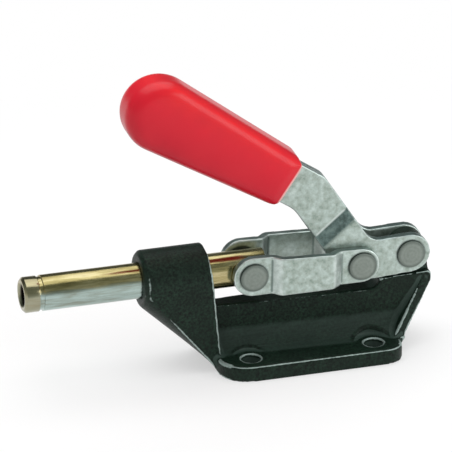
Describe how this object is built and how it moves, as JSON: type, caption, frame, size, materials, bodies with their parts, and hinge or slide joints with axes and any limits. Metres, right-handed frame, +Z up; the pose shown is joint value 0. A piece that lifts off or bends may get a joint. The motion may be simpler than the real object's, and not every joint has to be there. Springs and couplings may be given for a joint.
{
  "type": "toggle clamp",
  "caption": "Push-pull toggle clamp: a swinging handle and two links drive a round plunger through a flanged base, and lock it just past dead centre.",
  "frame": {"origin": "centre of the four mounting holes, on the underside of the base", "axes": "+X the way the plunger pushes, +Z up from the mounting face, +Y across the clamp"},
  "size_m": [0.1477, 0.044, 0.1109],
  "materials": {
    "base_black": "black oxide coat on a forging, semi-matt, worn pale on the edges",
    "zinc_plate": "zinc plated pressed steel, satin",
    "yellow_zinc": "yellow chromated zinc on ground bar, glossy",
    "rivet_steel": "plain steel, spun head",
    "grip_red": "dipped vinyl, glossy"
  },
  "bodies": {
    "base": {"base": "base_black", "pivot_bush": "rivet_steel"},
    "handle": {"handle_plate_left": "zinc_plate", "handle_plate_right": "zinc_plate", "grip": "grip_red", "pivot_pin": "rivet_steel", "crank_pin": "rivet_steel", "crank_spacer": "rivet_steel"},
    "links": {"link_left": "zinc_plate", "link_right": "zinc_plate", "plunger_pin_ends": "rivet_steel"},
    "plunger": {"plunger": "yellow_zinc", "plunger_pin": "rivet_steel"}
  },
  "joints": [
    {"name": "handle_swing", "type": "hinge", "parent": "base", "child": "handle", "pos_m": [-0.0388, 0, 0.034], "axis": [0, -1, 0], "range_deg": [0, 122]},
    {"name": "link_swing", "type": "hinge", "parent": "handle", "child": "links", "pos_m": [-0.01992, 0, 0.03315], "axis": [0, -1, 0], "range_deg": [-147.7, 0]},
    {"name": "plunger_slide", "type": "slide", "parent": "base", "child": "plunger", "axis": [-1, 0, 0], "range_m": [0, 0.03175]}
  ],
  "couplings": [
    {"joint": "link_swing", "follows": "handle_swing", "ratio": -1.2105},
    {"joint": "plunger_slide", "follows": "handle_swing", "m_per_rad": 0.01491}
  ]
}
